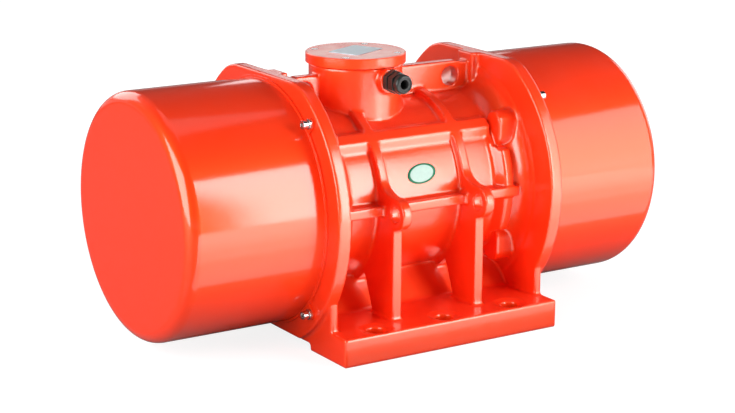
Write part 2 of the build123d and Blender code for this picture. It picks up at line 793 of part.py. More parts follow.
# The two ends of the motor are alike, so one loop makes both
for name, side in sides:
    # Outer bearing ring with its two ribs, and plain inner ring on the shaft
    with BuildPart() as outer_ring:
        with BuildSketch(turning_plane):
            ring(side, bearing_inner_x, bearing_outer_x, ring_rib_radius,
                 bearing_outer_radius - seat_gap)
            ring(side, bearing_x - roller_length / 2 - body_gap,
                 bearing_x + roller_length / 2 + body_gap,
                 ring_rib_radius, outer_race_radius, mode=Mode.SUBTRACT)
        revolve(axis=shaft_axis)
    keep(outer_ring.part, f"{name}_bearing_outer_ring")

    with BuildPart() as inner_ring:
        with BuildSketch(turning_plane):
            ring(side, bearing_inner_x, bearing_outer_x, bearing_inner_radius + seat_gap,
                 inner_race_radius)
        revolve(axis=shaft_axis)
    keep(inner_ring.part, f"{name}_bearing_inner_ring")

    # Rollers, and the cage with a pocket round each of them
    with BuildPart() as rollers:
        with BuildSketch(across(side, bearing_x - roller_length / 2)):
            with PolarLocations(pitch_radius, roller_count):
                Circle(roller_radius)
        extrude(amount=roller_length)
    keep(rollers.part, f"{name}_bearing_rollers")

    cage_half = roller_length / 2 + cage_end
    with BuildPart() as cage:
        with BuildSketch(turning_plane):
            ring(side, bearing_x - cage_half, bearing_x + cage_half, cage_inner_radius,
                 cage_outer_radius)
        revolve(axis=shaft_axis)
        with BuildSketch(across(side, bearing_x - roller_length / 2 - seat_gap)):
            with PolarLocations(pitch_radius, roller_count):
                Circle(roller_radius + seat_gap)
        extrude(amount=roller_length + 2 * seat_gap, mode=Mode.SUBTRACT)
    keep(cage.part, f"{name}_bearing_cage")

    # Bearing bracket: spigot, flange and hub turned in one, then bolt holes
    with BuildPart() as bracket:
        with BuildSketch(turning_plane):
            ring(side, flange_face_x, bracket_outer_x, bearing_outer_radius, bracket_radius)
            ring(side, flange_face_x - spigot_length, flange_face_x, bearing_outer_radius,
                 spigot_radius - seat_gap)
            ring(side, bearing_inner_x, bearing_outer_x, bearing_outer_radius,
                 bracket_hub_radius)
            ring(side, bearing_inner_x - bracket_lip, bearing_inner_x, bracket_lip_radius,
                 bracket_hub_radius)
            seal_x = (flange_face_x + bracket_outer_x - cover_seal_width) / 2
            ring(side, seal_x, seal_x + cover_seal_width, bracket_radius - cover_seal_depth,
                 bracket_radius, mode=Mode.SUBTRACT)
        revolve(axis=shaft_axis)
        with BuildSketch(across(side, flange_face_x)):
            with Locations(*lug_spots):
                Circle(bracket_bolt_radius + body_gap)
        extrude(amount=bracket_thickness, mode=Mode.SUBTRACT)
        with BuildSketch(across(side, bearing_outer_x)):
            with PolarLocations(cap_bolt_circle, cap_bolt_count):
                Circle(cap_bolt_radius)
        extrude(amount=-(cap_bolt_length - cap_thickness), mode=Mode.SUBTRACT)
    keep(bracket.part, f"{name}_bearing_bracket")

    with BuildPart() as bearing_cap:
        with BuildSketch(across(side, bearing_outer_x)):
            Circle(bracket_hub_radius)
            Circle(bearing_inner_radius + side_play, mode=Mode.SUBTRACT)
            with PolarLocations(cap_bolt_circle, cap_bolt_count):
                Circle(cap_bolt_radius + body_gap, mode=Mode.SUBTRACT)
        extrude(amount=cap_thickness)
    keep(bearing_cap.part, f"{name}_bearing_cap")

    # Bolts of the bracket and of the bearing cap
    with BuildPart() as bracket_bolts:
        with BuildSketch(across(side, bracket_outer_x)):
            with Locations(*lug_spots):
                Circle(bracket_head_radius)
        extrude(amount=bracket_head_height)
        with BuildSketch(across(side, bracket_outer_x)):
            with Locations(*lug_spots):
                Circle(bracket_bolt_radius - seat_gap)
        extrude(amount=-(bracket_bolt_length - side_play))
    keep(bracket_bolts.part, f"{name}_bracket_bolts")

    with BuildPart() as cap_screws:
        with BuildSketch(across(side, bearing_outer_x + cap_thickness)):
            with PolarLocations(cap_bolt_circle, cap_bolt_count):
                RegularPolygon(cap_head_radius, 6)
        extrude(amount=cap_head_height)
        with BuildSketch(across(side, bearing_outer_x + cap_thickness)):
            with PolarLocations(cap_bolt_circle, cap_bolt_count):
                Circle(cap_bolt_radius - seat_gap)
        extrude(amount=-(cap_bolt_length - side_play))
    keep(cap_screws.part, f"{name}_cap_screws")

    with BuildPart() as cover_seal:
        with BuildSketch(turning_plane):
            ring(side, seal_x + seat_gap, seal_x + cover_seal_width - seat_gap,
                 bracket_radius - cover_seal_depth + seat_gap,
                 cover_radius - cover_wall - body_gap)
        revolve(axis=shaft_axis)
    keep(cover_seal.part, f"{name}_cover_seal")

    # Fixed weight: keyed to the shaft
    with BuildPart() as fixed_weight:
        with BuildSketch(across(side, weight_inner_x)):
            Circle(weight_radius)
            with Locations((0, weight_top)):
                Rectangle(2 * weight_radius, 2 * weight_radius, align=(Align.CENTER, Align.MAX),
                          mode=Mode.INTERSECT)
            fillet(vertices(), weight_top)
            Circle(weight_hub_radius)
            Circle(shaft_end_radius + seat_gap, mode=Mode.SUBTRACT)
        extrude(amount=weight_thickness)
        with BuildSketch(across(side, weight_inner_x)):
            Rectangle(key_width + seat_gap, shaft_end_radius + key_height - key_depth + body_gap,
                      align=(Align.CENTER, Align.MIN))
        extrude(amount=weight_thickness, mode=Mode.SUBTRACT)
    keep(fixed_weight.part, f"{name}_fixed_weight")

    # Adjustable weight: split hub, drawn onto the shaft by a cross bolt
    with BuildPart() as adjustable_weight:
        with BuildSketch(across(side, outer_weight_x)):
            Circle(weight_radius)
            with Locations((0, weight_top)):
                Rectangle(2 * weight_radius, 2 * weight_radius, align=(Align.CENTER, Align.MAX),
                          mode=Mode.INTERSECT)
            fillet(vertices(), weight_top)
            Circle(weight_hub_radius)
            Rectangle(2 * clamp_flat, clamp_bolt_height + clamp_head_radius + clamp_margin,
                      align=(Align.CENTER, Align.MIN))
            Circle(shaft_end_radius + seat_gap, mode=Mode.SUBTRACT)
            Rectangle(split_width, 2 * clamp_bolt_height, align=(Align.CENTER, Align.MIN),
                      mode=Mode.SUBTRACT)
        extrude(amount=weight_thickness)
        with BuildSketch(Plane.XZ.offset(-weight_hub_radius)):
            with Locations((side * (outer_weight_x + weight_thickness / 2),
                            shaft_height + clamp_bolt_height)):
                Circle(clamp_bolt_radius + body_gap)
        extrude(amount=2 * weight_hub_radius, mode=Mode.SUBTRACT)
    keep(adjustable_weight.part, f"{name}_adjustable_weight")

    with BuildPart() as clamp_bolt:
        bolt_x = side * (outer_weight_x + weight_thickness / 2)
        with BuildSketch(Plane.XZ.offset(clamp_flat)):
            with Locations((bolt_x, shaft_height + clamp_bolt_height)):
                Circle(clamp_head_radius)
        extrude(amount=clamp_head_height)
        with BuildSketch(Plane.XZ.offset(clamp_flat)):
            with Locations((bolt_x, shaft_height + clamp_bolt_height)):
                Circle(clamp_bolt_radius)
        extrude(amount=-2 * clamp_flat)
        with BuildSketch(Plane.XZ.offset(-clamp_flat)):
            with Locations((bolt_x, shaft_height + clamp_bolt_height)):
                RegularPolygon(clamp_head_radius, 6)
        extrude(amount=-clamp_head_height)
    keep(clamp_bolt.part, f"{name}_clamp_bolt")

    with BuildPart() as retaining_ring:
        with BuildSketch(turning_plane):
            ring(side, retainer_x + seat_gap, retainer_x + ring_width - seat_gap,
                 shaft_end_radius - ring_groove_depth + seat_gap, ring_radius)
        revolve(axis=shaft_axis)
    keep(retaining_ring.part, f"{name}_retaining_ring")

    # Cover: drawn cup with a rolled corner and an outturned lip with four screw tabs
    with BuildPart() as cover:
        with BuildSketch(turning_plane):
            with BuildLine():
                Polyline(
                    (side * (cover_end_x - cover_wall), 0),
                    (side * cover_end_x, 0),
                    (side * cover_end_x, cover_end_radius),
                )
                RadiusArc(
                    (side * cover_end_x, cover_end_radius),
                    (side * (cover_end_x - cover_corner), cover_radius),
                    -side * cover_corner,
                )
                Polyline(
                    (side * (cover_end_x - cover_corner), cover_radius),
                    (side * (flange_face_x + lip_thickness), cover_radius),
                    (side * (flange_face_x + lip_thickness), lip_radius),
                    (side * flange_face_x, lip_radius),
                    (side * flange_face_x, cover_inside),
                    (side * (cover_end_x - cover_corner), cover_inside),
                )
                RadiusArc(
                    (side * (cover_end_x - cover_corner), cover_inside),
                    (side * (cover_end_x - cover_wall), cover_end_radius),
                    side * (cover_corner - cover_wall),
                )
                Line(
                    (side * (cover_end_x - cover_wall), cover_end_radius),
                    (side * (cover_end_x - cover_wall), 0),
                )
            make_face()
        revolve(axis=shaft_axis)
        with BuildSketch(across(side, flange_face_x)):
            with PolarLocations(cover_screw_radius, 4, start_angle=cover_screw_angle):
                Circle(cover_screw_tab)
                with Locations((-cover_screw_reach / 2, 0)):
                    Rectangle(cover_screw_reach, 2 * cover_screw_tab)
            Circle(cover_radius - cover_wall / 2, mode=Mode.SUBTRACT)
        extrude(amount=lip_thickness)
        with BuildSketch(across(side, flange_face_x)):
            with PolarLocations(cover_screw_radius, 4, start_angle=cover_screw_angle):
                Circle(cover_thread_radius + body_gap)
        extrude(amount=lip_thickness, mode=Mode.SUBTRACT)
    keep(cover.part, f"{name}_cover")

    head_x = flange_face_x + lip_thickness
    with BuildPart() as cover_washers:
        with BuildSketch(across(side, head_x)):
            with PolarLocations(cover_screw_radius, 4, start_angle=cover_screw_angle):
                Circle(washer_radius)
                Circle(cover_thread_radius + seat_gap, mode=Mode.SUBTRACT)
        extrude(amount=washer_thickness)
    keep(cover_washers.part, f"{name}_cover_washers")

    with BuildPart() as cover_screws:
        with BuildSketch(across(side, head_x + washer_thickness)):
            with PolarLocations(cover_screw_radius, 4, start_angle=cover_screw_angle):
                Circle(cover_head_radius)
        extrude(amount=cover_head_height)
        with BuildSketch(across(side, head_x + washer_thickness)):
            with PolarLocations(cover_screw_radius, 4, start_angle=cover_screw_angle):
                Circle(cover_thread_radius - seat_gap)
        extrude(amount=-(cover_thread_length + lip_thickness + washer_thickness - side_play))
        with BuildSketch(across(side, head_x + washer_thickness + cover_head_height)):
            with PolarLocations(cover_screw_radius, 4, start_angle=cover_screw_angle):
                RegularPolygon(socket_width / 2, 6, major_radius=False)
        extrude(amount=-socket_depth, mode=Mode.SUBTRACT)
    keep(cover_screws.part, f"{name}_cover_screws")
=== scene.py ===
# %% [markdown]
# # A vibration motor, dressed
#
# The solids of the motor come from its CAD model, which the first cell loads as a fixed frame.
# This notebook adds what the solids don't have: the rounded edges of a casting, thick glossy enamel,
# small rounds on the edges of screws and other loose pieces, a cable gland of black nylon, and the light of a
# product studio. All lengths are in metres, X runs along the shaft and Z points up.

import json
import math

import bmesh
import bpy
from mathutils import Matrix, Vector


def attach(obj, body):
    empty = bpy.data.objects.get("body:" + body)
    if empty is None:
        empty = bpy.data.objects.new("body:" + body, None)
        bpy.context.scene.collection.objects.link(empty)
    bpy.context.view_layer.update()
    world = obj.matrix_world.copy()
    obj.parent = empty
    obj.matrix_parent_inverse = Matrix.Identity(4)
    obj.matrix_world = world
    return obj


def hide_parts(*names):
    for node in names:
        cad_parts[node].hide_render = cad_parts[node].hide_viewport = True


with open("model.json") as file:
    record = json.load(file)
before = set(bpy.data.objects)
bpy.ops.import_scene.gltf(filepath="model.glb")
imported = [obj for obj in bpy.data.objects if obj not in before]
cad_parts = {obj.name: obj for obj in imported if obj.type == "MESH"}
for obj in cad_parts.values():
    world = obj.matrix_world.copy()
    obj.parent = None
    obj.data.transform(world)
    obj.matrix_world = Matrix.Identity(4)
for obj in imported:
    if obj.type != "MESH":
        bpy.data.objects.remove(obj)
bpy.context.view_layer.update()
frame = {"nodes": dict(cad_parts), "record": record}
nodes = frame["nodes"]
scene = bpy.context.scene

# %% [markdown]
# ## The camera
#
# A product picture is taken from far away with a long lens, so that the two ends of a machine look nearly
# equal in size. The place, the turn and the lens used here were solved from the outlines of the two covers
# and the corners of the foot. A matrix made of the camera's own right, up and back directions is clearer
# than three rotation angles, and can't suffer from their order. The view transform is the plain one, so that
# full white stays full white in the picture.

# %% Set the camera
YAW = math.radians(32.682)
PITCH = math.radians(14.415)
ROLL = math.radians(0.381)
LENS = 95.934
SENSOR_WIDTH = 36
VIEW_DEPTH = 60
CAMERA_PLACE = Vector((-1.3235, -2.0462, 0.7644))


def camera_matrix(yaw, pitch, roll, place):
    """Matrix of a camera that looks along +Y when all angles are zero."""
    ahead = Vector((math.sin(yaw) * math.cos(pitch), math.cos(yaw) * math.cos(pitch), -math.sin(pitch)))
    level = Vector((math.cos(yaw), -math.sin(yaw), 0))
    upward = level.cross(ahead)
    right = math.cos(roll) * level + math.sin(roll) * upward
    top = math.cos(roll) * upward - math.sin(roll) * level
    turn = Matrix((right, top, -ahead)).transposed()
    return Matrix.Translation(place) @ turn.to_4x4()


camera_data = bpy.data.cameras.new("camera")
camera_data.lens = LENS
camera_data.sensor_width = SENSOR_WIDTH
camera_data.sensor_fit = "HORIZONTAL"
camera_data.clip_end = VIEW_DEPTH
camera = bpy.data.objects.new("camera", camera_data)
scene.collection.objects.link(camera)
camera.matrix_world = camera_matrix(YAW, PITCH, ROLL, CAMERA_PLACE)
scene.camera = camera
scene.view_settings.view_transform = "Standard"
print("camera at", [round(v, 3) for v in camera.matrix_world.translation])

# %% [markdown]
# ## Helpers for node trees
#
# Every material below is a small graph of nodes. Written out by hand, each node costs several lines, and its
# meaning drowns in them. Small helpers start a material, make a node with its values, join two sockets,
# stretch a value from one range to another and multiply two values, so that a material reads as a list of
# what it is made of.

# %% Node helpers
WHITE = (1, 1, 1, 1)


def new_material(name):
    """Empty node material and its tree, with an output node."""
    material = bpy.data.materials.new(name)
    material.use_nodes = True
    tree = material.node_tree
    tree.nodes.clear()
    tree.nodes.new("ShaderNodeOutputMaterial")
    return material, tree


def add(tree, kind, **settings):
    """A node with its properties and input values set by name."""
    node = tree.nodes.new(kind)
    for key, value in settings.items():
        if hasattr(node, key):
            setattr(node, key, value)
        else:
            node.inputs[key.replace("_", " ")].default_value = value
    return node


def link(tree, source, target):
    """Joins an output to an input, each given as (node, socket name or number)."""
    tree.links.new(source[0].outputs[source[1]], target[0].inputs[target[1]])


def ramp(tree, source, low, high, bottom=0.0, top=1.0):
    """Map Range node that takes low to high in the source to bottom to top."""
    node = add(tree, "ShaderNodeMapRange", From_Min=low, From_Max=high, To_Min=bottom, To_Max=top)
    link(tree, source, (node, "Value"))
    return node


def product(tree, first, second):
    """Math node that multiplies two outputs."""
    node = add(tree, "ShaderNodeMath", operation="MULTIPLY")
    link(tree, first, (node, 0))
    link(tree, second, (node, 1))
    return node


def output_of(tree):
    """The material output that new_material made."""
    return next(n for n in tree.nodes if n.type == "OUTPUT_MATERIAL")


HELPERS = (new_material, add, link, ramp, product, output_of)
print("helpers:", [helper.__name__ for helper in HELPERS])

# %% [markdown]
# ## Floor
#
# A product picture stands on plain white, with only a soft shadow at the feet. A floor that is white for
# every ray would also throw white light up at the paint and dull its red. So this one is a quiet grey disc
# for light that bounces, and adds a white glow for camera rays alone. The glow is a little weaker near the
# machine, where the grey shows the contact shadow, and full further out, where the floor has to vanish.

# %% Build the floor
FLOOR_COLOUR = (0.25, 0.25, 0.25, 1)
FLOOR_SATIN = (0.04, 0.04, 0.04, 1)
SATIN_ROUGHNESS = 0.25
GLOW_NEAR = 0.85
GLOW_FAR = 1.0
NEAR_RADIUS = 0.45
FAR_RADIUS = 1.6
FLOOR_DROP = 0.0005


def floor_material():
    """Grey and satin for light that bounces, white for camera rays, with the shadow near the feet kept."""
    material, tree = new_material("studio_floor")
    paint = add(tree, "ShaderNodeBsdfDiffuse", Color=FLOOR_COLOUR)
    satin = add(tree, "ShaderNodeBsdfAnisotropic", Color=FLOOR_SATIN, Roughness=SATIN_ROUGHNESS)
    glow = add(tree, "ShaderNodeEmission", Color=WHITE)
    seen = add(tree, "ShaderNodeLightPath")
    place = add(tree, "ShaderNodeTexCoord")
    away = add(tree, "ShaderNodeVectorMath", operation="LENGTH")
    link(tree, (place, "Object"), (away, 0))
    fade = ramp(tree, (away, "Value"), NEAR_RADIUS, FAR_RADIUS, GLOW_NEAR, GLOW_FAR)
    strength = product(tree, (seen, "Is Camera Ray"), (fade, 0))
    link(tree, (strength, 0), (glow, "Strength"))
    body = add(tree, "ShaderNodeAddShader")
    link(tree, (paint, 0), (body, 0))
    link(tree, (satin, 0), (body, 1))
    total = add(tree, "ShaderNodeAddShader")
    link(tree, (body, 0), (total, 0))
    link(tree, (glow, 0), (total, 1))
    link(tree, (total, 0), (output_of(tree), "Surface"))
    return material


def make_floor(radius, steps):
    """A round floor, a hair under the feet."""
    shape = bmesh.new()
    bmesh.ops.create_circle(shape, cap_ends=True, segments=steps, radius=radius)
    mesh = bpy.data.meshes.new("studio_floor")
    shape.to_mesh(mesh)
    shape.free()
    floor = bpy.data.objects.new("studio_floor", mesh)
    scene.collection.objects.link(floor)
    floor.location.z = -FLOOR_DROP
    mesh.materials.append(floor_material())
    return floor


floor = make_floor(radius=9.0, steps=96)
print("floor points:", len(floor.data.vertices))

# %% [markdown]
# ## The air round the motor
#
# The world gives weak, even light from all round, so that no side is black. What the gloss mirrors in it is
# another matter: bright at the horizon, as the far wall of a studio is, and nearly dark overhead, so that
# the upper faces keep their deep red. Camera rays see plain white.

# %% Light the air
AIR_LEVEL = 0.13
MIRRORED_HORIZON = 0.45
MIRRORED_OVERHEAD = 0.02
HORIZON_RISE = 0.14


def make_world(level):
    """Even light, a mirrored horizon and a white view, chosen by the kind of ray."""
    world = bpy.data.worlds.new("studio_air")
    scene.world = world
    world.use_nodes = True
    tree = world.node_tree
    tree.nodes.clear()
    seen = tree.nodes.new("ShaderNodeLightPath")
    place = tree.nodes.new("ShaderNodeTexCoord")
    split = tree.nodes.new("ShaderNodeSeparateXYZ")
    link(tree, (place, "Generated"), (split, 0))
    horizon = ramp(tree, (split, "Z"), 0.0, HORIZON_RISE, MIRRORED_HORIZON, MIRRORED_OVERHEAD)
    fill = add(tree, "ShaderNodeBackground", Color=WHITE, Strength=level)
    mirrored = add(tree, "ShaderNodeBackground", Color=WHITE)
    link(tree, (horizon, 0), (mirrored, "Strength"))
    plain = add(tree, "ShaderNodeBackground", Color=WHITE, Strength=1.0)
    shiny = add(tree, "ShaderNodeMath", operation="MAXIMUM")
    link(tree, (seen, "Is Glossy Ray"), (shiny, 0))
    link(tree, (seen, "Is Transmission Ray"), (shiny, 1))
    bounced = tree.nodes.new("ShaderNodeMixShader")
    link(tree, (shiny, 0), (bounced, 0))
    link(tree, (fill, 0), (bounced, 1))
    link(tree, (mirrored, 0), (bounced, 2))
    final = tree.nodes.new("ShaderNodeMixShader")
    link(tree, (seen, "Is Camera Ray"), (final, 0))
    link(tree, (bounced, 0), (final, 1))
    link(tree, (plain, 0), (final, 2))
    link(tree, (final, 0), (tree.nodes.new("ShaderNodeOutputWorld"), "Surface"))


make_world(AIR_LEVEL)
print("air level:", AIR_LEVEL)

# %% [markdown]
# ## Lamps
#
# Glossy paint shows the lamps in it as much as it shows its own colour. One tall softbox in front on the
# right draws the straight upper edge of the bright band across both covers, and a weaker one beside it
# carries its light further round. A wide lamp on the left lights the end of the left cover, and a weak one
# hangs above. Cards low over the floor in front, each a little shorter than the last, shine upwards, so that
# the band fades out downwards instead of ending in an edge. A small lamp behind is mirrored in the top of
# the lid, and two fills keep the back and the right end from going dark. Each lamp is set by how bright its
# face looks, and its power follows from its size.

# %% Hang the lamps
SHAFT_HEIGHT = 0.169
MIDDLE = (0, 0, SHAFT_HEIGHT)
LID_TOP = (-0.03, 0, 0.345)
BOX_HEIGHT = 1.42
BOX_MIDDLE = 0.73
BOX_AIM = (0, 0, BOX_MIDDLE)
LAMPS = (
    # name, place, aim, width, height, brightness
    ("front_box", (0.725, -1.485, BOX_MIDDLE), BOX_AIM, 0.525, BOX_HEIGHT, 10.0),
    ("front_box_far", (1.30, -1.10, BOX_MIDDLE), BOX_AIM, 0.80, BOX_HEIGHT, 3.4),
    ("left_box", (-2.1, -0.35, 0.80), MIDDLE, 1.8, 1.5, 7.4),
    ("top_box", (0.2, 0.3, 2.6), MIDDLE, 1.6, 1.2, 0.6),
    ("back_box", (1.31, 2.04, 0.98), LID_TOP, 0.70, 0.42, 1.9),
    ("back_fill", (-0.5, 2.3, 1.2), MIDDLE, 1.6, 1.2, 2.6),
    ("right_fill", (2.3, 0.5, 0.8), MIDDLE, 1.2, 1.2, 2.4),
)
CARD_X = 0.45
CARD_WIDTH = 1.70
CARD_FAR = 1.60
CARD_LIFT = 0.01
CARD_RISE = 0.01
CARDS = ((0.21, 1.5), (0.36, 0.8), (0.50, 0.7), (0.65, 0.6))


def softbox(name, place, aim, width, height, brightness):
    """Rectangular lamp that faces aim and stays out of the picture."""
    data = bpy.data.lights.new(name, "AREA")
    data.shape = "RECTANGLE"
    data.size = width
    data.size_y = height
    data.energy = brightness * math.pi * width * height
    lamp = bpy.data.objects.new(name, data)
    scene.collection.objects.link(lamp)
    lamp.location = place
    lamp.visible_camera = False
    lamp.rotation_euler = (Vector(aim) - Vector(place)).to_track_quat("-Z", "Y").to_euler()


for lamp in LAMPS:
    softbox(*lamp)
for near, brightness in CARDS:
    y = -(near + CARD_FAR) / 2
    place = (CARD_X, y, CARD_LIFT + CARD_RISE * near)
    softbox("floor_card", place, (CARD_X, y, 1), CARD_WIDTH, CARD_FAR - near, brightness)

# %% [markdown]
# ## Shared effects
#
# Waves, dust and grain turn up on more than one finish, so each is a node group, built once; the dust mask
# also carries a painted reflection on the lid. A group gives out masks and heights only, and the shader that
# uses them stays in the material. The first group is the unevenness of sprayed paint: long soft waves, which
# bend the reflections, and a fine orange peel.

# %% Paint waves
FLOAT_A, FLOAT_B = 2, 3


def new_group(name, inputs, outputs):
    """Shader node group with float inputs given as {name: default} and outputs as {name: type}."""
    group = bpy.data.node_groups.new(name, "ShaderNodeTree")
    for label, value in inputs.items():
        socket = group.interface.new_socket(label, in_out="INPUT", socket_type="NodeSocketFloat")
        socket.default_value = value
        socket.min_value, socket.max_value = 0.0, 10000.0
    for label, kind in outputs.items():
        group.interface.new_socket(label, in_out="OUTPUT", socket_type=kind)
    return group, group.nodes.new("NodeGroupInput"), group.nodes.new("NodeGroupOutput")


def place_group(tree, group, **values):
    """Puts a shared group in a material, with its own values."""
    node = tree.nodes.new("ShaderNodeGroup")
    node.node_tree = group
    for key, value in values.items():
        node.inputs[key.replace("_", " ")].default_value = value
    return node


def wave_group():
    """Height of sprayed paint: long soft waves and a fine orange peel."""
    group, given, result = new_group(
        "paint_waves", {"Peel size": 700.0, "Wave size": 60.0, "Wave share": 0.6},
        {"Height": "NodeSocketFloat"},
    )
    place = group.nodes.new("ShaderNodeTexCoord")
    peel = add(group, "ShaderNodeTexNoise", Detail=2.0, Roughness=0.5)
    wave = add(group, "ShaderNodeTexNoise", Detail=3.0, Roughness=0.55)
    for texture, label in ((peel, "Peel size"), (wave, "Wave size")):
        link(group, (place, "Object"), (texture, "Vector"))
        link(group, (given, label), (texture, "Scale"))
    blend = add(group, "ShaderNodeMix", data_type="FLOAT")
    link(group, (given, "Wave share"), (blend, 0))
    link(group, (peel, 0), (blend, FLOAT_A))
    link(group, (wave, 0), (blend, FLOAT_B))
    link(group, (blend, 0), (result, "Height"))
    return group


WAVES = wave_group()
print("group:", WAVES.name)

# %% [markdown]
# ## Dust, and a painted reflection
#
# Dust lies only where it can: on faces that look up. The upward part of the surface normal gives that mask,
# and noise breaks it into soft patches, thick here and thin there. Laid on thick, as on the lid, the same
# pale
# mask is a painted reflection: it lights the top as a mirrored bright studio would at this low view.

# %% Settled dust and painted reflection
LYING = (0.55, 1.0)
PATCHY = (0.35, 0.75)


def dust_and_reflection_group():
    """Mask of fine dust on faces that look up, in soft patches; laid on thick, it is a painted reflection."""
    group, given, result = new_group(
        "dust_and_painted_reflection", {"Patch size": 9.0, "Amount": 0.12}, {"Mask": "NodeSocketFloat"},
    )
    place = group.nodes.new("ShaderNodeTexCoord")
    facing = group.nodes.new("ShaderNodeNewGeometry")
    split = group.nodes.new("ShaderNodeSeparateXYZ")
    link(group, (facing, "Normal"), (split, 0))
    lying = ramp(group, (split, "Z"), *LYING)
    patch = add(group, "ShaderNodeTexNoise", Detail=5.0, Roughness=0.65)
    link(group, (place, "Object"), (patch, "Vector"))
    link(group, (given, "Patch size"), (patch, "Scale"))
    thick = ramp(group, (patch, 0), *PATCHY)
    shape = product(group, (lying, 0), (thick, 0))
    amount = product(group, (shape, 0), (given, "Amount"))
    link(group, (amount, 0), (result, "Mask"))
    return group


DUST_AND_REFLECTION = dust_and_reflection_group()
print("group:", DUST_AND_REFLECTION.name)

# %% [markdown]
# ## Grain
#
# Cast iron is mottled, ground steel has lines and moulded plastic has a fine texture. All three are one
# noise at different sizes, stretched along the shaft where the real marks are.

# %% Fine grain
def grain_group():
    """Mottle between 0 and 1 at a given size, for cast, ground or moulded faces."""
    group, given, result = new_group(
        "fine_grain", {"Grain size": 900.0, "Stretch": 1.0}, {"Mottle": "NodeSocketFloat"},
    )
    place = group.nodes.new("ShaderNodeTexCoord")
    scale = add(group, "ShaderNodeCombineXYZ", Y=1.0, Z=1.0)
    link(group, (given, "Stretch"), (scale, 0))
    shaped = add(group, "ShaderNodeVectorMath", operation="MULTIPLY")
    link(group, (place, "Object"), (shaped, 0))
    link(group, (scale, 0), (shaped, 1))
    noise = add(group, "ShaderNodeTexNoise", Detail=4.0, Roughness=0.6)
    link(group, (shaped, 0), (noise, "Vector"))
    link(group, (given, "Grain size"), (noise, "Scale"))
    link(group, (noise, 0), (result, "Mottle"))
    return group


GRAIN = grain_group()
print("group:", GRAIN.name)

# %% [markdown]
# ## Enamel
#
# The motor is sprayed all over in one orange-red enamel, covers and casting alike. Such paint shines twice:
# its pigment spreads a broad orange sheen under each lamp, and the clear skin on top mirrors the lamp itself.
# So the base layer is rough with an orange tint in its gloss, and a coat gives the sharp white reflection.
# The casting under the paint is rougher than the drawn sheet of the covers, and the lid's top is painted pale
# through the dust mask, a painted reflection, so each of the three has its own values.

# %% Enamel materials
ENAMEL = (0.88, 0.024, 0.003, 1)
ENAMEL_DEEP = (0.82, 0.018, 0.0025, 1)
SHEEN_COLOUR = (1.0, 0.44, 0.06, 1)
SHEEN_IOR = 1.55
SHEEN_ROUGHNESS = 0.52
DRIFT_SIZE = 7.0
# Pale colour of the dust mask; laid on thick, on the lid, it is a painted reflection.
DUST_AND_REFLECTION_COLOUR = (0.90, 0.34, 0.27, 1)
DUST_AND_REFLECTION_SIZE = 14.0
PAINT_DEPTH = 0.001
COLOUR_A, COLOUR_B = 6, 7
MIXED = 2


def mix(tree, share, first, second):
    """Colour mix by a mask; first and second are plain colours or outputs."""
    node = add(tree, "ShaderNodeMix", data_type="RGBA")
    link(tree, share, (node, 0))
    for number, colour in ((COLOUR_A, first), (COLOUR_B, second)):
        if isinstance(colour[0], bpy.types.Node):
            link(tree, colour, (node, number))
        else:
            node.inputs[number].default_value = colour
    return node


def bump(tree, height, shader, strength, distance, *sockets):
    """Bump node from a height, joined to the shader's normal sockets."""
    node = add(tree, "ShaderNodeBump", Strength=strength, Distance=distance)
    link(tree, height, (node, "Height"))
    for socket in sockets:
        link(tree, (node, 0), (shader, socket))


def enamel(name, wave_share, relief, gloss, wave_size=60.0, dust_and_reflection_share=0.05, coat_ior=1.5):
    """Glossy enamel with a slight drift of colour, dust on top faces (laid on thick, a painted reflection)
    and the given unevenness.
    """
    material, tree = new_material(name)
    shader = add(
        tree, "ShaderNodeBsdfPrincipled", Roughness=SHEEN_ROUGHNESS, IOR=SHEEN_IOR, Specular_IOR_Level=1.0,
        Specular_Tint=SHEEN_COLOUR, Coat_Weight=1.0, Coat_Roughness=gloss, Coat_IOR=coat_ior,
    )
    drift = place_group(tree, GRAIN, Grain_size=DRIFT_SIZE)
    tint = mix(tree, (drift, 0), ENAMEL, ENAMEL_DEEP)
    # Dust mask: fine dust where thin, a painted reflection where laid on thick.
    dust_and_reflection_mask = place_group(tree, DUST_AND_REFLECTION, Patch_size=DUST_AND_REFLECTION_SIZE, Amount=dust_and_reflection_share)
    dust_and_reflection_tint = mix(tree, (dust_and_reflection_mask, 0), (tint, MIXED), DUST_AND_REFLECTION_COLOUR)
    link(tree, (dust_and_reflection_tint, MIXED), (shader, "Base Color"))
    uneven = place_group(tree, WAVES, Wave_share=wave_share, Wave_size=wave_size)
    bump(tree, (uneven, 0), shader, relief, PAINT_DEPTH, "Normal", "Coat Normal")
    link(tree, (shader, 0), (output_of(tree), "Surface"))
    return material


cast_enamel = enamel("cast_enamel", wave_share=0.7, relief=0.25, gloss=0.19, coat_ior=1.65)
sheet_enamel = enamel("sheet_enamel", wave_share=0.5, relief=0.06, gloss=0.11, wave_size=18.0, coat_ior=1.55)
# On the lid the dust mask is laid on thick: a painted reflection that makes its top pale.
lid_enamel = enamel("lid_enamel", wave_share=0.3, relief=0.10, gloss=0.20, dust_and_reflection_share=1.2)
print("enamels:", cast_enamel.name, sheet_enamel.name, lid_enamel.name)

# %% [markdown]
# ## Bare metals, plastic and rubber
#
# Every other finish is small in the picture, but each has a grain of its own: ground steel has fine lines,
# castings are mottled, moulded nylon is matt with a little sheen. One helper builds them from a table of
# plain values.

# %% Plain finishes
GRAIN_DEPTH = 0.0004
SMOOTHER = 0.08
ROUGHER = 0.10


